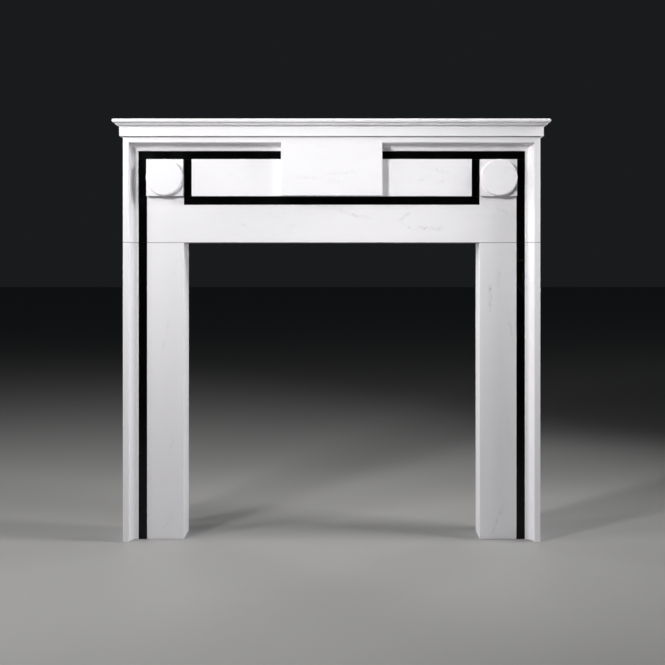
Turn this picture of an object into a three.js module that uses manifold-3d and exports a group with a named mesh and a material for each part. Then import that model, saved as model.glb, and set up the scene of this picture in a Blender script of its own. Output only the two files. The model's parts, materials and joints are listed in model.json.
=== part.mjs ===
// A chimneypiece of white marble, inlaid with strips of black marble.
// Millimetres. +X is right, -Y is the front and +Z is up. The origin is on the floor, midway
// across the width and the depth of the shelf. Each stone is a mesh of its own.

import * as THREE from 'three';
import { mergeVertices } from 'three/addons/utils/BufferGeometryUtils.js';
import Module from 'manifold-3d';

// The fire opening, and the whole depth from the wall to the nosing of the shelf.
const OPENING_WIDTH = 914;
const JAMB_HEIGHT = 916;
const REVEAL_DEPTH = 100;
const DEPTH = 190;

// Widths across a jamb, outwards from the opening. The last three make the frame.
const FACE_WIDTH = 114;
const STRIP_WIDTH = 26;
const FILLET_WIDTH = 4.5;
const CAVETTO_WIDTH = 18;
const FLAT_WIDTH = 18;

// Heights up the frieze, from its underside to the frame across its top.
const LOWER_FACE_HEIGHT = 116.5;
const INNER_STRIP_WIDTH = 26;
const BLOCK_SIZE = 114;

// The raised tablet in the middle of the frieze.
const TABLET_WIDTH = 310;

// How far each surface stands in front of the plain faces.
const FRAME_RISE = 38;
const PANEL_RISE = 15;
const FILLET_RISE = 6;
const ROUNDEL_RISE = 13;
const ROUNDEL_RIM = 5;

// The shelf: heights of its three members, and how far they stand out from the frame.
const FASCIA_HEIGHT = 31;
const OVOLO_HEIGHT = 7.5;
const NOSING_HEIGHT = 13;
const FASCIA_OUT = 9;
const OVOLO_FOOT_OUT = 12.5;
const OVOLO_RADIUS = 7;
const NOSING_OUT = 28;

// Thicknesses of the slabs that the blocks are hollowed to, and of what is let into them.
const SLAB = 30;
const RETURN = 35;
const STRIP_THICKNESS = 10;
const POCKET_DEPTH = 5;

// The bed of adhesive between stones.
const JOINT = 0.3;

// Facets along the curves.
const CAVETTO_STEPS = 16;
const OVOLO_STEPS = 8;
const NOSING_STEPS = 16;
const RIM_STEPS = 6;
const ROUNDEL_STEPS = 96;

// How far a cutter or a joined piece runs past the surface it meets.
const OVERRUN = 1;

const FRAME_WIDTH = FILLET_WIDTH + CAVETTO_WIDTH + FLAT_WIDTH;

// Distances from the middle of the opening.
const OPENING_HALF = OPENING_WIDTH / 2;
const STRIP_IN = OPENING_HALF + FACE_WIDTH;
const STRIP_OUT = STRIP_IN + STRIP_WIDTH;
const HALF_WIDTH = STRIP_OUT + FRAME_WIDTH;
const PANEL_OUT = OPENING_HALF - INNER_STRIP_WIDTH;
const TABLET_HALF = TABLET_WIDTH / 2;

// Depths.
const BACK_Y = DEPTH / 2;
const FRAME_Y = NOSING_OUT - BACK_Y;
const FACE_Y = FRAME_Y + FRAME_RISE;
const FILLET_Y = FACE_Y - FILLET_RISE;
const PANEL_Y = FACE_Y - PANEL_RISE;
const SLAB_Y = FACE_Y + SLAB;
const SLIP_Y = FACE_Y + REVEAL_DEPTH;
const CHANNEL_Y = FACE_Y + STRIP_THICKNESS + JOINT;

// Heights.
const FRIEZE_Z = JAMB_HEIGHT + JOINT;
const BOTTOM_STRIP_Z = FRIEZE_Z + LOWER_FACE_HEIGHT;
const PANEL_Z = BOTTOM_STRIP_Z + INNER_STRIP_WIDTH;
const TOP_STRIP_Z = PANEL_Z + BLOCK_SIZE;
const FRAME_Z = TOP_STRIP_Z + STRIP_WIDTH;
const FRIEZE_TOP = FRAME_Z + FRAME_WIDTH;
const SHELF_Z = FRIEZE_TOP + JOINT;
const SHELF_HEIGHT = FASCIA_HEIGHT + OVOLO_HEIGHT + NOSING_HEIGHT;

const X = new THREE.Vector3(1, 0, 0);
const Y = new THREE.Vector3(0, 1, 0);
const Z = new THREE.Vector3(0, 0, 1);

// Each side of the chimneypiece, and the sign of its x.
const SIDES = [['left', -1], ['right', 1]];

const wasm = await Module();
wasm.setup();

// A closed geometry as a solid that can be joined and cut.
function toSolid(geometry) {
  geometry.deleteAttribute('normal');
  geometry.deleteAttribute('uv');
  const merged = mergeVertices(geometry);
  return new wasm.Manifold(new wasm.Mesh({
    numProp: 3,
    vertProperties: merged.attributes.position.array,
    triVerts: Uint32Array.from(merged.index.array),
  }));
}

// A solid as a geometry again.
function toGeometry(solid) {
  const { vertProperties, triVerts } = solid.getMesh();
  const geometry = new THREE.BufferGeometry();
  geometry.setAttribute('position', new THREE.BufferAttribute(vertProperties, 3));
  geometry.setIndex(new THREE.BufferAttribute(triVerts, 1));
  return geometry;
}

// A block between two planes on each axis, given as pairs in either order.
function block([x0, x1], [y0, y1], [z0, z1]) {
  const geometry = new THREE.BoxGeometry(Math.abs(x1 - x0), Math.abs(y1 - y0), Math.abs(z1 - z0));
  geometry.translate((x0 + x1) / 2, (y0 + y1) / 2, (z0 + z1) / 2);
  return toSolid(geometry);
}

// A bar whose section has its first coordinate along `across` and its second along `up`.
// It starts at `start` and runs along their cross product.
function bar(section, across, up, start, length) {
  const shape = new THREE.Shape(section.map(([a, b]) => new THREE.Vector2(a, b)));
  const geometry = new THREE.ExtrudeGeometry(shape, { depth: length, bevelEnabled: false });
  const along = new THREE.Vector3().crossVectors(across, up);
  geometry.applyMatrix4(new THREE.Matrix4().makeBasis(across, up, along).setPosition(start));
  return toSolid(geometry);
}

// Points along part of an ellipse, from one angle to another, in quarter turns.
function arc(centreA, centreB, radiusA, radiusB, from, to, steps) {
  return Array.from({ length: steps + 1 }, (_, i) => {
    const angle = (from + ((to - from) * i) / steps) * (Math.PI / 2);
    return [centreA + radiusA * Math.cos(angle), centreB + radiusB * Math.sin(angle)];
  });
}

// The face of the frame as [distance in from its outside, depth]: a flat, a cavetto that starts
// square to the flat and runs out level, and a low fillet beside the black strip.
function frameFace() {
  const cavettoIn = FLAT_WIDTH + CAVETTO_WIDTH;
  return [
    [0, FRAME_Y],
    ...arc(cavettoIn, FRAME_Y, -CAVETTO_WIDTH, FILLET_Y - FRAME_Y, 0, 1, CAVETTO_STEPS),
    [FRAME_WIDTH, FILLET_Y],
  ];
}

// Section of the frame in the frieze, hollowed behind its face and returned to the wall.
function frameSection() {
  return [...frameFace(), [FRAME_WIDTH, SLAB_Y], [RETURN, SLAB_Y], [RETURN, BACK_Y], [0, BACK_Y]];
}

// Plan of a jamb on the given side: frame, channel for the strip, face, reveal, hollow back.
function jambPlan(side) {
  const plan = [
    ...frameFace().map(([inwards, y]) => [HALF_WIDTH - inwards, y]),
    [STRIP_OUT, CHANNEL_Y], [STRIP_IN, CHANNEL_Y], [STRIP_IN, FACE_Y],
    [OPENING_HALF, FACE_Y], [OPENING_HALF, SLIP_Y], [OPENING_HALF + SLAB, SLIP_Y],
    [OPENING_HALF + SLAB, SLAB_Y], [HALF_WIDTH - RETURN, SLAB_Y], [HALF_WIDTH - RETURN, BACK_Y],
    [HALF_WIDTH, BACK_Y],
  ];
  return plan.map(([x, y]) => [side * x, y]);
}

function jamb(side) {
  return bar(jambPlan(side), X, Y, new THREE.Vector3(0, 0, 0), JAMB_HEIGHT);
}

// Every black strip in the frieze, as its name and its span in x and in z.
function friezeStrips() {
  const strips = [['bottom_strip', [-OPENING_HALF, OPENING_HALF], [BOTTOM_STRIP_Z, PANEL_Z]]];
  for (const [name, side] of SIDES) {
    const span = (from, to) => [side * from, side * to].sort((a, b) => a - b);
    strips.push([`${name}_top_strip`, span(TABLET_HALF, STRIP_OUT), [TOP_STRIP_Z, FRAME_Z]]);
    strips.push([`${name}_frieze_strip`, span(STRIP_IN, STRIP_OUT), [FRIEZE_Z, TOP_STRIP_Z]]);
    strips.push([`${name}_short_strip`, span(PANEL_OUT, OPENING_HALF), [PANEL_Z, TOP_STRIP_Z]]);
  }
  return strips;
}

// The frieze: a slab with a board below, the frame round three sides, the tablet and two panels,
// then channels for the strips and a pocket for each corner block. The frame's members join in
// a mitre of their own, because its face only falls away inwards.
function frieze() {
  const across = [-HALF_WIDTH + OVERRUN, HALF_WIDTH - OVERRUN];
  let solid = block([-STRIP_OUT, STRIP_OUT], [FACE_Y, SLAB_Y], [FRIEZE_Z, FRAME_Z]);
  solid = solid.add(block(across, [FACE_Y + OVERRUN, SLIP_Y], [FRIEZE_Z, FRIEZE_Z + SLAB]));
  const corner = new THREE.Vector3(-HALF_WIDTH, 0, FRIEZE_TOP);
  solid = solid.add(bar(frameSection(), Z.clone().negate(), Y, corner, 2 * HALF_WIDTH));
  for (const [, side] of SIDES) {
    const upright = frameSection().map(([inwards, y]) => [side * (HALF_WIDTH - inwards), y]);
    const start = new THREE.Vector3(0, 0, FRIEZE_Z);
    solid = solid.add(bar(upright, X, Y, start, FRIEZE_TOP - FRIEZE_Z));
    const panel = [side * (TABLET_HALF - OVERRUN), side * PANEL_OUT];
    solid = solid.add(block(panel, [PANEL_Y, SLAB_Y - OVERRUN], [PANEL_Z, TOP_STRIP_Z]));
  }
  const tablet = [-TABLET_HALF, TABLET_HALF];
  solid = solid.add(block(tablet, [FRAME_Y, SLAB_Y - OVERRUN], [PANEL_Z, FRIEZE_TOP]));
  for (const [, xs, zs] of friezeStrips()) {
    solid = solid.subtract(block(xs, [FACE_Y - OVERRUN, CHANNEL_Y], zs));
  }
  for (const [, side] of SIDES) {
    const pocket = [side * OPENING_HALF, side * STRIP_IN];
    const depth = [FACE_Y - OVERRUN, FACE_Y + POCKET_DEPTH];
    solid = solid.subtract(block(pocket, depth, [PANEL_Z, TOP_STRIP_Z]));
  }
  return solid;
}

// A strip of black marble, flush with the faces and bedded all round.
function strip([x0, x1], [z0, z1]) {
  return block([x0 + JOINT, x1 - JOINT], [FACE_Y, FACE_Y + STRIP_THICKNESS], [z0, z1]);
}

// A square block let into the frieze, with a flat roundel turned on its face. The roundel is as
// wide as the block and its edge is rounded over.
function cornerBlock(side) {
  const half = BLOCK_SIZE / 2 - JOINT;
  const x = side * (OPENING_HALF + BLOCK_SIZE / 2);
  const z = PANEL_Z + BLOCK_SIZE / 2;
  const base = block(
    [x - half, x + half], [PANEL_Y, FACE_Y + POCKET_DEPTH - JOINT], [z - half, z + half]);
  const shoulder = ROUNDEL_RISE - ROUNDEL_RIM;
  const rim = arc(half - ROUNDEL_RIM, shoulder, ROUNDEL_RIM, ROUNDEL_RIM, 0, 1, RIM_STEPS);
  const profile = [[0, -OVERRUN], [half, -OVERRUN], ...rim, [0, ROUNDEL_RISE]];
  const points = profile.map(([radius, rise]) => new THREE.Vector2(radius, rise));
  const roundel = new THREE.LatheGeometry(points, ROUNDEL_STEPS);
  roundel.rotateX(Math.PI);
  roundel.translate(x, PANEL_Y, z);
  return base.add(toSolid(roundel));
}

// The edge of the shelf as [distance out from the frame, height]: fascia, ovolo, half-round nosing.
function shelfEdge() {
  const ovoloFoot = FASCIA_HEIGHT;
  const ovoloTop = FASCIA_HEIGHT + OVOLO_HEIGHT;
  const nosingRadius = NOSING_HEIGHT / 2;
  const ovolo = arc(
    OVOLO_FOOT_OUT, ovoloFoot + OVOLO_RADIUS, OVOLO_RADIUS, OVOLO_RADIUS, -1, 0, OVOLO_STEPS);
  const nosing = arc(
    NOSING_OUT - nosingRadius, ovoloTop + nosingRadius, nosingRadius, nosingRadius,
    -1, 1, NOSING_STEPS);
  return [
    [FASCIA_OUT, 0], [FASCIA_OUT, ovoloFoot],
    ...ovolo, [OVOLO_FOOT_OUT + OVOLO_RADIUS, ovoloTop],
    ...nosing,
  ];
}

// The shelf: its edge runs across the front and returns along both ends, mitred at the corners,
// which is what the front's section and the ends' section have in common.
function shelf() {
  const edge = shelfEdge();
  const ends = [
    ...edge.map(([out, z]) => [HALF_WIDTH + out, z]),
    ...edge.map(([out, z]) => [-HALF_WIDTH - out, z]).reverse(),
  ];
  const front = [...edge.map(([out, z]) => [FRAME_Y - out, z]), [BACK_Y, SHELF_HEIGHT], [BACK_Y, 0]];
  const reach = HALF_WIDTH + NOSING_OUT + OVERRUN;
  const lengthways = bar(front, Y, Z, new THREE.Vector3(-reach, 0, SHELF_Z), 2 * reach);
  const start = new THREE.Vector3(0, BACK_Y + OVERRUN, SHELF_Z);
  return lengthways.intersect(bar(ends, X, Z, start, DEPTH + 2 * OVERRUN));
}

const chimneypiece = new THREE.Group();
const whiteMarble = { color: 0xeceaea, roughness: 0.38, metalness: 0 };
const blackMarble = { color: 0x080908, roughness: 0.14, metalness: 0 };

// Adds a stone as a named mesh with its own material.
function addStone(name, solid, finish) {
  const mesh = new THREE.Mesh(toGeometry(solid), new THREE.MeshStandardMaterial(finish));
  mesh.name = name;
  chimneypiece.add(mesh);
}

addStone('shelf', shelf(), whiteMarble);
addStone('frieze', frieze(), whiteMarble);
for (const [name, side] of SIDES) {
  addStone(`${name}_jamb`, jamb(side), whiteMarble);
  addStone(`${name}_corner_block`, cornerBlock(side), whiteMarble);
  const across = [side * STRIP_IN, side * STRIP_OUT].sort((a, b) => a - b);
  addStone(`${name}_jamb_strip`, strip(across, [0, JAMB_HEIGHT]), blackMarble);
}
for (const [name, xs, [z0, z1]] of friezeStrips()) {
  // The uprights that end at the joint with the jambs are flush with the frieze's underside.
  const foot = z0 === FRIEZE_Z ? z0 : z0 + JOINT;
  addStone(name, strip(xs, [foot, z1 - JOINT]), blackMarble);
}

export default chimneypiece;
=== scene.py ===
import json
from math import cos, pi, radians, sin

import bmesh
import bpy
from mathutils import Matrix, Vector


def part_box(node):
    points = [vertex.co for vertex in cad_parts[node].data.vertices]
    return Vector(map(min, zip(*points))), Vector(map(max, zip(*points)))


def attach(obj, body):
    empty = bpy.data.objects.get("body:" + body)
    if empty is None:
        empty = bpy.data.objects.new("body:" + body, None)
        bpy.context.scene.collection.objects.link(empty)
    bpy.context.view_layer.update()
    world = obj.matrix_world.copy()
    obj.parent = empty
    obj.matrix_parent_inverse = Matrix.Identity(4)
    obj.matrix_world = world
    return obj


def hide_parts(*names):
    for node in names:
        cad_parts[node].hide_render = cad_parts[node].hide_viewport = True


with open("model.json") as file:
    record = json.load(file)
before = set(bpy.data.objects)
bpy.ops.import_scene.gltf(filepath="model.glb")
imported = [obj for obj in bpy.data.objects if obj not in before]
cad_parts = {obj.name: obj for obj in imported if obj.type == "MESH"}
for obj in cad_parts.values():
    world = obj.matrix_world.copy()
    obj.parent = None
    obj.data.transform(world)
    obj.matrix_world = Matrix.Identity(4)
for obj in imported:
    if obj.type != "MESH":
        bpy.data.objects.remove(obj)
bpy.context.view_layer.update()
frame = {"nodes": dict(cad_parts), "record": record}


# The frieze
# One block of white marble, with the top of the frame, the tablet and the side panels carved on
# its face, channels let in for the black strips, and its back sawn out to save weight. Its outer
# arrises are rubbed down by hand, and the face is honed.

FRIEZE_SLAB = 0.030
FRIEZE_RETURN = 0.035
STONE_ARRIS = 0.0009
ARRIS_TURN = radians(25)
ARRIS_STEPS = 3
WELD = 1e-5
FLATNESS = radians(0.5)
HONED_WHITE = (0.87, 0.855, 0.878, 1)
CLOUDED_WHITE = (0.825, 0.812, 0.838, 1)
VEIN_GREY = (0.30, 0.30, 0.31, 1)
# The grey and the width below paint shade along the joint between frieze and jambs.
JOINT_SHADE_GREY = (0.22, 0.215, 0.20, 1)
JOINT_SHADE_WIDTH = 0.0011
WISP_WIDTH = 0.008
WANDER = 0.03
WANDER_MIDDLE = Vector((0.5, 0.5, 0.5))
FRAYED_END = 0.3
SWAY_NOISE = (7, 6, 0.75, "Color")
DOT_NOISE = (120, 2, 0.7)
DOT_EDGES = (0.48, 0.66)
DOT_DEPTH = 1.1
THREAD_DEPTH = 0.15
BED_STRETCH = (1.2, 5.0, 5.0)
BED_SWAY = 3
PATCH_NOISE = (2.3, 2)
PATCH_EDGES = (0.52, 0.68)
RANDOM_NOISE = (3.0, 5, 0.6)
RANDOM_FINENESS = 40
RANDOM_DEPTH = 0.08
RANDOM_THREAD = 0.2
CLOUD_NOISE = (1.6, 5, 0.6)
CLOUD_EDGES = (0.3, 0.75)
CLOUD_SHARE = 0.55
GRAIN_NOISE = (900, 1)
GRAIN_SHARE = 0.10
HONED_ROUGHNESS = 0.30
HONING = 0.08
HONING_NOISE = (60, 3)
VEIN_ROUGHNESS = 0.10
WAVE_NOISE = (9, 1)
GRAIN_HEIGHT = 0.2
HONED_BUMP = {"Strength": 0.2, "Distance": 0.0001}
FRIEZE_WISPS = (
    (0.00, 1.019, 0.14, 0.985, 0.34), (0.200, 0.978, 0.246, 1.014, 0.34),
    (0.205, 0.982, 0.262, 0.952, 0.30), (0.25, 0.960, 0.36, 0.960, 0.34),
    (-0.30, 0.982, -0.25, 0.957, 0.18), (-0.14, 0.966, -0.10, 0.974, 0.14),
    (0.46, 1.036, 0.49, 1.022, 0.22), (0.50, 1.026, 0.55, 1.006, 0.16),
    (-0.13, 1.118, -0.02, 1.108, 0.14), (-0.04, 1.119, 0.10, 1.133, 0.12),
    (-0.02, 1.102, 0.05, 1.100, 0.08), (-0.05, 1.209, 0.00, 1.206, 0.08),
    (0.30, 1.144, 0.37, 1.127, 0.16), (0.26, 1.103, 0.31, 1.123, 0.12),
    (0.32, 1.092, 0.37, 1.111, 0.12), (-0.33, 1.135, -0.29, 1.121, 0.10))
SAWN_WHITE = (0.70, 0.69, 0.68, 1)
SAWN_DUST = (0.80, 0.79, 0.77, 1)
DRIFT_NOISE = (6, 2)
DRIFT = 0.012
KERFS = 1400
KERF_SHARE = 0.12
KERF_HEIGHT = 0.35
STEP_NOISE = (30, 4, 0.6)
DUST_EDGES = (0.35, 0.7)
SAWN_ROUGHNESS = 0.78
DUST_ROUGHNESS = 0.14
SAWN_BUMP = {"Strength": 0.7, "Distance": 0.0012}
FACING_BACK = 0.9


def is_vector(value):
    """Whether a socket, or a plain value, is a vector or a colour."""
    if isinstance(value, Socket):
        return value.link.type in ("VECTOR", "RGBA")
    return not isinstance(value, (int, float))


class Socket:
    """A node's socket in a Python expression: each operation on it adds a Math node."""

    def __init__(self, tree, link=None):
        self.tree = tree
        self.link = link

    def node(self, kind, sockets=(), out=0, **settings):
        """Adds any node: its settings first, then its sockets."""
        made = self.tree.nodes.new(kind)
        for name, value in settings.items():
            setattr(made, name, value)
        for name, value in dict(sockets).items():
            if isinstance(value, Socket):
                self.tree.links.new(value.link, made.inputs[name])
            else:
                made.inputs[name].default_value = value
        return Socket(self.tree, made.outputs[out] if made.outputs else None)

    def value(self, number):
        """A number as a socket."""
        made = self.node("ShaderNodeValue")
        made.link.default_value = number
        return made

    def math(self, operation, *values):
        """Maths on numbers, or on vectors where one of the values is a vector."""
        if any(is_vector(value) for value in values):
            if operation == "MULTIPLY" and not all(is_vector(value) for value in values):
                return self.scaled(*values)
            return self.node("ShaderNodeVectorMath", enumerate(values), operation=operation)
        return self.node("ShaderNodeMath", enumerate(values), operation=operation)

    def scaled(self, first, second):
        """A vector times a number, in either order."""
        vector, number = (first, second) if is_vector(first) else (second, first)
        return self.node(
            "ShaderNodeVectorMath", {0: vector, "Scale": number}, operation="SCALE")

    def dot(self, other):
        return self.node(
            "ShaderNodeVectorMath", {0: self, 1: other}, "Value", operation="DOT_PRODUCT")

    def ease(self, low, high):
        """0 at low and 1 at high, with a soft step between."""
        return self.node(
            "ShaderNodeMapRange", {"Value": self, "From Min": low, "From Max": high},
            interpolation_type="SMOOTHSTEP")

    def noise(self, scale, detail=2, roughness=0.5, out="Fac"):
        """Noise at this place."""
        return self.node(
            "ShaderNodeTexNoise",
            {"Vector": self, "Scale": scale, "Detail": detail, "Roughness": roughness}, out)

    def mix(self, first, second):
        """A colour between two, by this factor."""
        return self.node(
            "ShaderNodeMix", {"Factor": self, 6: first, 7: second}, 2, data_type="RGBA")

    def __add__(self, other):
        return self.math("ADD", self, other)

    def __radd__(self, other):
        return self.math("ADD", other, self)

    def __sub__(self, other):
        return self.math("SUBTRACT", self, other)

    def __rsub__(self, other):
        return self.math("SUBTRACT", other, self)

    def __mul__(self, other):
        return self.math("MULTIPLY", self, other)

    def __rmul__(self, other):
        return self.math("MULTIPLY", other, self)

    def __abs__(self):
        return self.math("ABSOLUTE", self)


def material(name):
    """A new material: its shader node and the start of its expressions."""
    made = bpy.data.materials.new(name)
    made.use_nodes = True
    return made, made.node_tree.nodes["Principled BSDF"], Socket(made.node_tree)


def link(shader, name, value):
    value.tree.links.new(value.link, shader.inputs[name])


def wisp(place, start, end, width):
    """A wandering vein between two points of the face, frayed at both ends."""
    run = Vector((end[0] - start[0], 0, end[1] - start[1]))
    foot = Vector((start[0], 0, start[1]))
    along = run / run.length_squared
    across = Vector((-run.z, 0, run.x)) / run.length
    part = place.dot(along) - along.dot(foot)
    off = abs(place.dot(across) - across.dot(foot))
    return off.ease(width, 0) * part.ease(0, FRAYED_END) * part.ease(1, 1 - FRAYED_END)


def white_marble(name, lie, shift, wisps=(), joint=0.0):
    """Honed white marble: a few broken grey wisps where the photo shows them, fine random veins
    along the bed, a faint clouding and a sugary grain. Lie turns the bed, and shift takes each
    stone from its own part of the quarry block. At the height of a joint, a grey band is
    painted on the arrises: painted shade for the groove of the joint."""
    made, shader, start = material(name)
    here = start.node("ShaderNodeTexCoord", out="Object")
    place = start.node(
        "ShaderNodeMapping", {"Vector": here, "Location": shift, "Rotation": lie})
    sway = place.noise(*SWAY_NOISE) - WANDER_MIDDLE
    wandering = here + sway * WANDER
    dots = place.noise(*DOT_NOISE).ease(*DOT_EDGES)
    veins = start.value(0)
    for x, z, end_x, end_z, depth in wisps:
        line = wisp(wandering, (x, z), (end_x, end_z), WISP_WIDTH)
        veins = veins + line * depth
    veins = veins * (THREAD_DEPTH + DOT_DEPTH * dots)
    bed = start.node(
        "ShaderNodeMapping", {"Vector": place + sway * WANDER * BED_SWAY, "Scale": BED_STRETCH})
    patches = place.noise(*PATCH_NOISE).ease(*PATCH_EDGES)
    random = 1 - abs(bed.noise(*RANDOM_NOISE) - 0.5) * RANDOM_FINENESS
    veins = veins + random.ease(0, 1) * patches * (RANDOM_THREAD + dots) * RANDOM_DEPTH
    clouds = bed.noise(*CLOUD_NOISE).ease(*CLOUD_EDGES)
    grain = place.noise(*GRAIN_NOISE)
    shade = CLOUD_SHARE * clouds + GRAIN_SHARE * grain
    body = shade.mix(HONED_WHITE, CLOUDED_WHITE)
    stone = veins.mix(body, VEIN_GREY)
    # A grey band painted along the arrises at the joint: painted shade for the groove there.
    if joint:
        height = start.node("ShaderNodeSeparateXYZ", {"Vector": here}, "Z")
        joint_shade = abs(height - joint).ease(JOINT_SHADE_WIDTH, JOINT_SHADE_WIDTH / 2)
        stone = joint_shade.mix(stone, JOINT_SHADE_GREY)
    link(shader, "Base Color", stone)
    honed = HONED_ROUGHNESS + HONING * clouds + HONING * place.noise(*HONING_NOISE)
    link(shader, "Roughness", honed + VEIN_ROUGHNESS * veins)
    waves = place.noise(*WAVE_NOISE) + grain * GRAIN_HEIGHT
    bump = start.node("ShaderNodeBump", {"Height": waves, **HONED_BUMP})
    link(shader, "Normal", bump)
    return made


def sawn_marble(name):
    """White marble straight from the saw: dull, dusty, with the saw's level kerf lines."""
    made, shader, start = material(name)
    place = start.node("ShaderNodeTexCoord", out="Object")
    level = start.node("ShaderNodeSeparateXYZ", {"Vector": place}, "Z")
    drift = place.noise(*DRIFT_NOISE) * DRIFT
    kerfs = start.math("SINE", (level + drift) * KERFS)
    steps = place.noise(*STEP_NOISE)
    dust = (kerfs * KERF_SHARE + steps).ease(*DUST_EDGES)
    link(shader, "Base Color", dust.mix(SAWN_WHITE, SAWN_DUST))
    link(shader, "Roughness", SAWN_ROUGHNESS + DUST_ROUGHNESS * dust)
    height = kerfs * KERF_HEIGHT + steps
    bump = start.node("ShaderNodeBump", {"Height": height, **SAWN_BUMP})
    link(shader, "Normal", bump)
    return made


def cad_stone(name, node):
    """A new piece with a node's own shape: its triangles welded and its flat faces made whole."""
    mesh = frame["nodes"][node].data.copy()
    mesh.materials.clear()
    work = bmesh.new()
    work.from_mesh(mesh)
    bmesh.ops.remove_doubles(work, verts=work.verts, dist=WELD)
    bmesh.ops.dissolve_limit(
        work, angle_limit=FLATNESS, verts=work.verts, edges=work.edges, use_dissolve_boundaries=False)
    work.to_mesh(mesh)
    work.free()
    piece = bpy.data.objects.new(name, mesh)
    bpy.context.collection.objects.link(piece)
    return piece


def rub_down(piece, width):
    """Rounds the outer arrises of a stone, and leaves its inner corners and mitres sharp."""
    work = bmesh.new()
    work.from_mesh(piece.data)
    weight = work.edges.layers.float.new("bevel_weight_edge")
    for edge in work.edges:
        turn = edge.calc_face_angle_signed()
        run = edge.verts[1].co - edge.verts[0].co
        slanting = sum(abs(part) > WELD for part in run) > 1
        edge[weight] = turn > ARRIS_TURN
        edge.smooth = turn > -ARRIS_TURN and not (slanting and turn < ARRIS_TURN)
    work.to_mesh(piece.data)
    work.free()
    piece.data.shade_smooth()
    bevel = piece.modifiers.new("Arris", "BEVEL")
    bevel.limit_method = "WEIGHT"
    bevel.width = width
    bevel.segments = ARRIS_STEPS
    level = piece.modifiers.new("Flat faces", "WEIGHTED_NORMAL")
    level.keep_sharp = True


def saw_back(piece, sawn, low=(0, 0, 0), high=(0, 0, 0)):
    """Gives the sawn finish to faces that look back, and to those inside a hollow, if it has one."""
    piece.data.materials.append(sawn)
    for face in piece.data.polygons:
        inside = all(low[i] < face.center[i] < high[i] for i in range(3))
        if inside or face.normal.y > FACING_BACK:
            face.material_index = 1


def stand_for(piece, node):
    """The piece moves with the mantel and replaces the node."""
    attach(piece, "root")
    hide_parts(node)


frieze_low, frieze_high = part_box("frieze")
sawn = sawn_marble("sawn back")
frieze = cad_stone("carved_frieze", "frieze")
joint_height = (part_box("left_jamb")[1].z + frieze_low.z) / 2
frieze.data.materials.append(white_marble(
    "frieze marble", lie=(0, radians(8), 0), shift=(0.3, 0, 0.1), wisps=FRIEZE_WISPS,
    joint=joint_height))
hollow_low = (frieze_low.x + FRIEZE_RETURN - STONE_ARRIS, 0, frieze_low.z + FRIEZE_SLAB / 2)
hollow_high = (frieze_high.x - FRIEZE_RETURN + STONE_ARRIS, frieze_high.y, frieze_high.z - WELD)
saw_back(frieze, sawn, hollow_low, hollow_high)
rub_down(frieze, STONE_ARRIS)
stand_for(frieze, "frieze")


# The jambs
# Two upright blocks of the same marble under the frieze. The section is worked the whole height:
# flat, cavetto and fillet of the frame, the channel for the strip, the plain face and the deep
# reveal. The back is sawn out, and the inner side stops short of it.

FRAME_RISE = 0.038
FILLET_RISE = 0.006
FLAT_WIDTH = 0.018
CAVETTO_WIDTH = 0.018
REVEAL_DEPTH = 0.100
JAMB_SLAB = 0.030
JAMB_RETURN = 0.035
STRIP_BED = 0.0003
BELOW_THE_FOOT = 1
CURVE_STEPS = 16
JAMB_WISPS = {
    "left": (
        (-0.500, 0.71, -0.528, 0.56, 0.09), (-0.484, 0.33, -0.507, 0.245, 0.12),
        (-0.489, 0.09, -0.528, 0.02, 0.12), (-0.497, 0.79, -0.459, 0.90, 0.06)),
    "right": (
        (0.517, 0.84, 0.515, 0.77, 0.26), (0.495, 0.80, 0.488, 0.695, 0.56),
        (0.542, 0.715, 0.560, 0.60, 0.20), (0.536, 0.41, 0.560, 0.245, 0.14),
        (0.534, 0.115, 0.492, 0.005, 0.38))}


def arc(centre, radii, first, last, steps):
    """Points along part of an ellipse, between two angles in quarter turns."""
    turns = [(first + (last - first) * i / steps) * pi / 2 for i in range(steps + 1)]
    return [(centre[0] + radii[0] * cos(t), centre[1] + radii[1] * sin(t)) for t in turns]


def outline(points, closed):
    """A helper object whose edges are an outline. Its points keep their place as "profile"."""
    mesh = bpy.data.meshes.new("outline")
    places = [(a, b, 0) for a, b in points]
    edges = [(i, i + 1) for i in range(len(places) - 1)]
    mesh.from_pydata(places, edges + [(len(places) - 1, 0)] * closed, [])
    kept = mesh.attributes.new("profile", "FLOAT_VECTOR", "POINT")
    kept.data.foreach_set("vector", [number for place in places for number in place])
    return bpy.data.objects.new("outline", mesh)


def new_tree(name, **inputs):
    """A Geometry Nodes tree with named inputs, and the sockets that carry them."""
    tree = bpy.data.node_groups.new(name, "GeometryNodeTree")
    for title, kind in inputs.items():
        tree.interface.new_socket(
            title.replace("_", " ").capitalize(), in_out="INPUT", socket_type="NodeSocket" + kind)
    tree.interface.new_socket("Geometry", in_out="OUTPUT", socket_type="NodeSocketGeometry")
    entry = tree.nodes.new("NodeGroupInput")
    return Socket(tree), [Socket(tree, socket) for socket in entry.outputs if socket.name]


def profile_curve(start, profile):
    """The outline that a helper object holds, as a curve."""
    held = start.node("GeometryNodeObjectInfo", {"Object": profile}, "Geometry")
    return start.node("GeometryNodeMeshToCurve", {0: held})


def kept_place(start, name):
    """X, Y and Z of a place that an earlier step kept on the points."""
    place = start.node(
        "GeometryNodeInputNamedAttribute", {"Name": name}, data_type="FLOAT_VECTOR")
    parts = place.node("ShaderNodeSeparateXYZ", {0: place}).link.node.outputs
    return [Socket(start.tree, part) for part in parts]


def keep_place(start, geometry, name):
    """Keeps each point's place under a name, for a later step."""
    place = start.node("GeometryNodeInputPosition")
    return start.node(
        "GeometryNodeStoreNamedAttribute", {"Geometry": geometry, "Name": name, "Value": place},
        data_type="FLOAT_VECTOR", domain="POINT")


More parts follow.
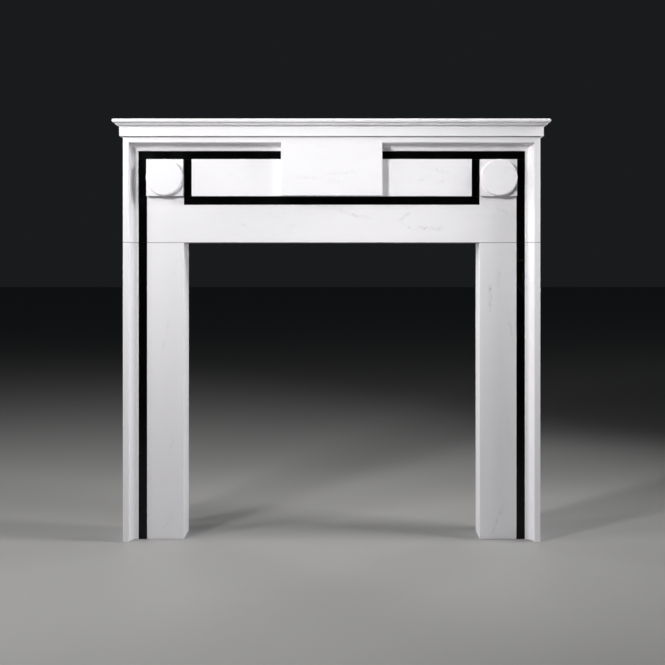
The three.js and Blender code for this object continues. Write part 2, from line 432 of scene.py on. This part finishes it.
def finish_tree(start, geometry, x, y, z, stone):
    """Puts every point in its place, and ends the tree."""
    place = start.node("ShaderNodeCombineXYZ", {"X": x, "Y": y, "Z": z})
    placed = start.node("GeometryNodeSetPosition", {"Geometry": geometry, "Position": place})
    real = start.node("GeometryNodeRealizeInstances", {"Geometry": placed})
    dressed = start.node("GeometryNodeSetMaterial", {"Geometry": real, "Material": stone})
    start.node("NodeGroupOutput", {"Geometry": dressed})
    return start.tree


def grow(name, tree, **values):
    """Runs a tree on its named inputs and gives a closed plain mesh, facing outwards."""
    piece = bpy.data.objects.new(name, bpy.data.meshes.new(name))
    bpy.context.collection.objects.link(piece)
    run = piece.modifiers.new(tree.name, "NODES")
    run.node_group = tree
    for item in tree.interface.items_tree:
        if item.in_out == "INPUT":
            run[item.identifier] = values[item.name.lower().replace(" ", "_")]
    shaped = piece.evaluated_get(bpy.context.evaluated_depsgraph_get())
    mesh = bpy.data.meshes.new_from_object(shaped)
    piece.modifiers.clear()
    piece.data = mesh
    work = bmesh.new()
    work.from_mesh(mesh)
    bmesh.ops.remove_doubles(work, verts=work.verts, dist=WELD)
    bmesh.ops.holes_fill(work, edges=[edge for edge in work.edges if edge.is_boundary])
    bmesh.ops.recalc_face_normals(work, faces=work.faces)
    work.to_mesh(mesh)
    work.free()
    for kept in ("profile", "path"):
        if kept in mesh.attributes:
            mesh.attributes.remove(mesh.attributes[kept])
    return piece


def upright_tree():
    """A section carried straight up from the foot."""
    start, (section, height, stone) = new_tree(
        "Upright", section="Object", height="Float", stone="Material")
    rail = start.node("GeometryNodeCurvePrimitiveLine", {"Start": (0, 0, 0), "End": (0, 0, 1)})
    rail = keep_place(start, rail, "path")
    swept = start.node(
        "GeometryNodeCurveToMesh",
        {"Curve": rail, "Profile Curve": profile_curve(start, section), "Fill Caps": True})
    across, depth, _ = kept_place(start, "profile")
    return finish_tree(start, swept, across, depth, kept_place(start, "path")[2] * height, stone)


upright = upright_tree()
for name, side in (("left", -1), ("right", 1)):
    low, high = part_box(f"{name}_jamb")
    strip_low, strip_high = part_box(f"{name}_jamb_strip")
    opening, outside = sorted((abs(low.x), abs(high.x)))
    strip_in, strip_out = sorted((abs(strip_low.x), abs(strip_high.x)))
    strip_in -= STRIP_BED
    strip_out += STRIP_BED
    front, back = low.y, high.y
    face = front + FRAME_RISE
    channel = strip_high.y + STRIP_BED
    slab = face + JAMB_SLAB
    cavetto = arc(
        (outside - FLAT_WIDTH - CAVETTO_WIDTH, front), (CAVETTO_WIDTH, FRAME_RISE - FILLET_RISE),
        0, 1, CURVE_STEPS)
    plan = [
        (outside, front), *cavetto, (strip_out, face - FILLET_RISE),
        (strip_out, channel), (strip_in, channel), (strip_in, face), (opening, face),
        (opening, face + REVEAL_DEPTH), (opening + JAMB_SLAB, face + REVEAL_DEPTH),
        (opening + JAMB_SLAB, slab), (outside - JAMB_RETURN, slab), (outside - JAMB_RETURN, back),
        (outside, back),
    ]
    section = outline([(side * x, y) for x, y in plan], closed=True)
    stone = white_marble(
        f"{name} jamb marble", lie=(0, radians(90 + 5 * side), 0), shift=(1.7 * side, 0.4, 2.1),
        wisps=JAMB_WISPS[name], joint=joint_height)
    jamb = grow(f"{name}_upright", upright, section=section, height=high.z, stone=stone)
    hollow = sorted((side * (opening + JAMB_SLAB - WELD), side * (outside - JAMB_RETURN + WELD)))
    saw_back(
        jamb, sawn, (hollow[0], 0, low.z - BELOW_THE_FOOT), (hollow[1], back, high.z - WELD))
    rub_down(jamb, STONE_ARRIS)
    stand_for(jamb, f"{name}_jamb")
    bpy.data.objects.remove(section)


# The shelf
# One slab of the white marble, bedded on the frieze. Its edge is worked on the front and both
# ends, which meet in mitres: a plain fascia, a small ovolo and a half-round nosing. The top is
# honed like the rest, and the back edge is sawn.

NOSING_RADIUS = 0.0065
OVOLO_RADIUS = 0.007
OVOLO_INSET = 0.0085
FASCIA_INSET = 0.019
FASCIA_HEIGHT = 0.031
NOSING_STEPS = 24


def slab_tree():
    """An edge carried round a rectangle: it stands out on the front and ends, not at the back."""
    start, (edge, half_width, front, back, base, stone) = new_tree(
        "Moulded slab", edge="Object", half_width="Float", front="Float", back="Float",
        base="Float", stone="Material")
    corners = start.node("GeometryNodeCurvePrimitiveQuadrilateral", {"Width": 2, "Height": 2})
    corners = keep_place(start, corners, "path")
    swept = start.node(
        "GeometryNodeCurveToMesh", {"Curve": corners, "Profile Curve": profile_curve(start, edge)})
    inset, height, _ = kept_place(start, "profile")
    side, rear, _ = kept_place(start, "path")
    at_back = rear.ease(-1, 1)
    y = (1 - at_back) * (front + inset) + at_back * back
    return finish_tree(start, swept, side * (half_width - inset), y, height + base, stone)


low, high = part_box("shelf")
shelf_height = high.z - low.z
ovolo_centre = (OVOLO_INSET + OVOLO_RADIUS, FASCIA_HEIGHT + OVOLO_RADIUS)
nosing_foot = shelf_height - 2 * NOSING_RADIUS
nosing_centre = (NOSING_RADIUS, shelf_height - NOSING_RADIUS)
edge = outline([
    (FASCIA_INSET, 0), (FASCIA_INSET, FASCIA_HEIGHT),
    *arc(ovolo_centre, (-OVOLO_RADIUS, OVOLO_RADIUS), -1, 0, NOSING_STEPS // 2),
    (OVOLO_INSET, nosing_foot),
    *arc(nosing_centre, (-NOSING_RADIUS, NOSING_RADIUS), -1, 1, NOSING_STEPS),
], closed=False)
shelf = grow(
    "moulded_shelf", slab_tree(), edge=edge, half_width=high.x, front=low.y, back=high.y,
    base=low.z, stone=white_marble("shelf marble", lie=(0, radians(-4), 0), shift=(3.3, 1.2, 0.7)))
saw_back(shelf, sawn)
rub_down(shelf, STONE_ARRIS)
stand_for(shelf, "shelf")
bpy.data.objects.remove(edge)


# The corner blocks
# A square block of the white marble at each end of the frieze, let into a shallow pocket. A flat
# roundel as wide as the block is turned on its face, with its edge rounded over.

ROUNDEL_RISE = 0.013
ROUNDEL_RIM = 0.005
ROUNDEL_MARGIN = 0.0003
ROUNDEL_SINK = 0.002
ROUNDEL_STEPS = 144
RIM_STEPS = 12
ROUNDEL_EDGE = radians(50)
BLOCK_ARRIS = 0.0007


def turned_tree():
    """A profile turned about an axis that points out of the frieze."""
    start, (profile, centre_x, face, centre_z, steps, stone) = new_tree(
        "Turned roundel", profile="Object", centre_x="Float", face="Float", centre_z="Float",
        steps="Int", stone="Material")
    circle = start.node("GeometryNodeCurvePrimitiveCircle", {"Resolution": steps, "Radius": 1})
    circle = keep_place(start, circle, "path")
    swept = start.node(
        "GeometryNodeCurveToMesh", {"Curve": circle, "Profile Curve": profile_curve(start, profile)})
    radius, rise, _ = kept_place(start, "profile")
    cosine, sine, _ = kept_place(start, "path")
    return finish_tree(
        start, swept, centre_x + radius * cosine, face - rise, centre_z + radius * sine, stone)


def block_mesh(piece, low, high):
    """A plain block between two corners, with its arrises rounded."""
    work = bmesh.new()
    size = Vector(high) - Vector(low)
    bmesh.ops.create_cube(work, size=1)
    bmesh.ops.scale(work, vec=size, verts=work.verts)
    bmesh.ops.translate(work, vec=Vector(low) + size / 2, verts=work.verts)
    bmesh.ops.bevel(
        work, geom=list(work.edges), offset=BLOCK_ARRIS, segments=ARRIS_STEPS, profile=0.5,
        affect="EDGES", clamp_overlap=True)
    work.to_mesh(piece.data)
    work.free()


turned = turned_tree()
for name, side in (("left", -1), ("right", 1)):
    low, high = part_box(f"{name}_corner_block")
    stone = white_marble(
        f"{name} block marble", lie=(0, radians(20), 0), shift=(5.1, 0.9 * side, 4.2))
    face = low.y + ROUNDEL_RISE
    radius = (high.x - low.x) / 2 - ROUNDEL_MARGIN
    shoulder = (radius - ROUNDEL_RIM, ROUNDEL_RISE - ROUNDEL_RIM)
    profile = outline([
        (0, -ROUNDEL_SINK), (radius, -ROUNDEL_SINK),
        *arc(shoulder, (ROUNDEL_RIM, ROUNDEL_RIM), 0, 1, RIM_STEPS), (0, ROUNDEL_RISE),
    ], closed=False)
    roundel = grow(
        "turned_roundel", turned, profile=profile, centre_x=(low.x + high.x) / 2, face=face,
        centre_z=(low.z + high.z) / 2, steps=ROUNDEL_STEPS, stone=stone)
    mesh = bpy.data.meshes.new(f"{name}_roundel_block")
    block = bpy.data.objects.new(mesh.name, mesh)
    bpy.context.collection.objects.link(block)
    mesh.materials.append(stone)
    block_mesh(block, (low.x, face, low.z), high)
    join = block.modifiers.new("Roundel", "BOOLEAN")
    join.operation = "UNION"
    join.solver = "EXACT"
    join.object = roundel
    whole = block.evaluated_get(bpy.context.evaluated_depsgraph_get())
    block.data = bpy.data.meshes.new_from_object(whole)
    block.modifiers.clear()
    block.data.shade_smooth()
    block.data.set_sharp_from_angle(angle=ROUNDEL_EDGE)
    level = block.modifiers.new("Flat faces", "WEIGHTED_NORMAL")
    level.keep_sharp = True
    stand_for(block, f"{name}_corner_block")
    bpy.data.objects.remove(roundel)
    bpy.data.objects.remove(profile)


# The black strips
# Bars of black marble, set flush in channels in the frieze and jambs and polished with them.
# The top strips run through, and the uprights butt up under them. Each is cut at the joint
# between frieze and jamb, because the blocks are inlaid before they are put together.

STRIP_ARRIS = 0.0004
JET_BLACK = (0.0008, 0.0009, 0.0009, 1)
SOOT_BLACK = (0.0024, 0.0026, 0.0027, 1)
HAIR_GREY = (0.035, 0.035, 0.037, 1)
SOOT_NOISE = (18, 5, 0.6)
SOOT_EDGES = (0.4, 0.75)
HAIR_STRETCH = (2.0, 9.0, 9.0)
HAIR_NOISE = (2.4, 6, 0.6)
HAIR_FINENESS = 90
HAIR_DEPTH = 0.6
HAIR_PATCH_NOISE = (3.0, 1)
HAIR_PATCH_EDGES = (0.56, 0.7)
POLISHED_ROUGHNESS = 0.10
SOOT_ROUGHNESS = 0.07
POLISHING = 0.04
POLISHING_NOISE = (120, 3)
RIPPLE_NOISE = (20, 2)
POLISHED_BUMP = {"Strength": 0.15, "Distance": 0.0003}
POLISHED_SPECULAR = 0.2


def black_marble(name, lie, shift):
    """Polished black marble, faintly clouded, with a rare hair of grey."""
    made, shader, start = material(name)
    here = start.node("ShaderNodeTexCoord", out="Object")
    place = start.node(
        "ShaderNodeMapping", {"Vector": here, "Location": shift, "Rotation": lie})
    clouds = place.noise(*SOOT_NOISE).ease(*SOOT_EDGES)
    bed = start.node("ShaderNodeMapping", {"Vector": place, "Scale": HAIR_STRETCH})
    hair = 1 - abs(bed.noise(*HAIR_NOISE) - 0.5) * HAIR_FINENESS
    patches = place.noise(*HAIR_PATCH_NOISE).ease(*HAIR_PATCH_EDGES)
    body = clouds.mix(JET_BLACK, SOOT_BLACK)
    link(shader, "Base Color", (HAIR_DEPTH * hair.ease(0, 1) * patches).mix(body, HAIR_GREY))
    polish = POLISHED_ROUGHNESS + SOOT_ROUGHNESS * clouds
    link(shader, "Roughness", polish + POLISHING * place.noise(*POLISHING_NOISE))
    ripples = place.noise(*RIPPLE_NOISE)
    link(shader, "Normal", start.node("ShaderNodeBump", {"Height": ripples, **POLISHED_BUMP}))
    shader.inputs["Specular IOR Level"].default_value = POLISHED_SPECULAR
    return made


level_black = black_marble("level black", lie=(0, 0, 0), shift=(0.6, 0, 0.2))
upright_black = black_marble("upright black", lie=(0, radians(90), 0), shift=(2.2, 0.5, 0.4))
strips = [entry["node"] for entry in frame["record"]["subparts"] if "strip" in entry["node"]]
for node in strips:
    low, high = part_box(node)
    strip = cad_stone(node.replace("strip", "inlay"), node)
    lying = high.x - low.x > high.z - low.z
    strip.data.materials.append(level_black if lying else upright_black)
    rub_down(strip, STRIP_ARRIS)
    stand_for(strip, node)


# The studio
# A plain pale floor, soft lamps and the camera that took the photograph, level and square to the
# mantel. Nothing here is part of the object.

PHOTO_PIXELS = 665
FOCAL_PIXELS = 1034.7
VANISHING_POINT = (347.3, 266.9)
CAMERA_PLACE = (0.048, -3.227, 0.841)
FILM_WIDTH = 36
FLOOR_REACH = 40
FLOOR_DROP = 0.0004
FLOOR_GREY = (0.40, 0.395, 0.39, 1)
FLOOR_ROUGHNESS = 0.6
WORLD_GREY = (0.01, 0.011, 0.012, 1)

camera_data = bpy.data.cameras.new("photo camera")
camera_data.sensor_width = FILM_WIDTH
camera_data.lens = FOCAL_PIXELS / PHOTO_PIXELS * FILM_WIDTH
camera_data.shift_x = 0.5 - VANISHING_POINT[0] / PHOTO_PIXELS
camera_data.shift_y = VANISHING_POINT[1] / PHOTO_PIXELS - 0.5
camera = bpy.data.objects.new("photo camera", camera_data)
camera.location = CAMERA_PLACE
camera.rotation_euler = (radians(90), 0, 0)
bpy.context.collection.objects.link(camera)
bpy.context.scene.camera = camera

floor_mesh = bpy.data.meshes.new("floor")
floor_mesh.from_pydata(
    [(x * FLOOR_REACH, y * FLOOR_REACH, -FLOOR_DROP)
     for x, y in ((-1, -1), (1, -1), (1, 1), (-1, 1))], [], [(0, 1, 2, 3)])
floor = bpy.data.objects.new("floor", floor_mesh)
bpy.context.collection.objects.link(floor)
made, shader, start = material("pale floor")
shader.inputs["Base Color"].default_value = FLOOR_GREY
shader.inputs["Roughness"].default_value = FLOOR_ROUGHNESS
floor_mesh.materials.append(made)


def lamp(name, place, target, size, power, spread=180):
    """A soft square lamp that faces its target. A small spread keeps its light to a beam."""
    data = bpy.data.lights.new(name, "AREA")
    data.shape = "SQUARE"
    data.size = size
    data.energy = power
    data.spread = radians(spread)
    made = bpy.data.objects.new(name, data)
    made.location = place
    made.rotation_euler = (Vector(target) - Vector(place)).to_track_quat("-Z", "Y").to_euler()
    bpy.context.collection.objects.link(made)


lamp("key", (-1.37, -1.65, 1.76), (0, 0, 1.3), 0.25, 20.4)
lamp("far key", (-2.1, -2.44, 2.07), (0.4, 0, 1.0), 0.4, 3.1, 45)
lamp("near left", (-1.8, -0.85, 1.9), (-0.3, 0, 1.0), 0.25, 12.5)
lamp("high left", (-3.2, -0.45, 1.8), (0, 0, 1.0), 0.6, 26.2)
lamp("high right", (3.2, -0.5, 2.2), (0, 0, 1.2), 1.0, 30, 90)
lamp("low right", (2.6, -0.5, 1.0), (-0.46, 0, 1.0), 0.4, 0.36, 30)
lamp("beam", (-0.9, -1.35, 1.65), (0.35, 0, 1.1), 0.2, 0.34, 40)
lamp("left back", (-1.9, 1.6, 1.0), (0.4, 0, 0.8), 0.5, 3.0, 60)
lamp("right back", (1.9, 1.6, 1.0), (-0.4, 0, 0.8), 0.5, 2.6, 60)

world = bpy.data.worlds.new("studio")
world.use_nodes = True
world.node_tree.nodes["Background"].inputs["Color"].default_value = WORLD_GREY
bpy.context.scene.world = world
bpy.context.scene.view_settings.view_transform = "Standard"
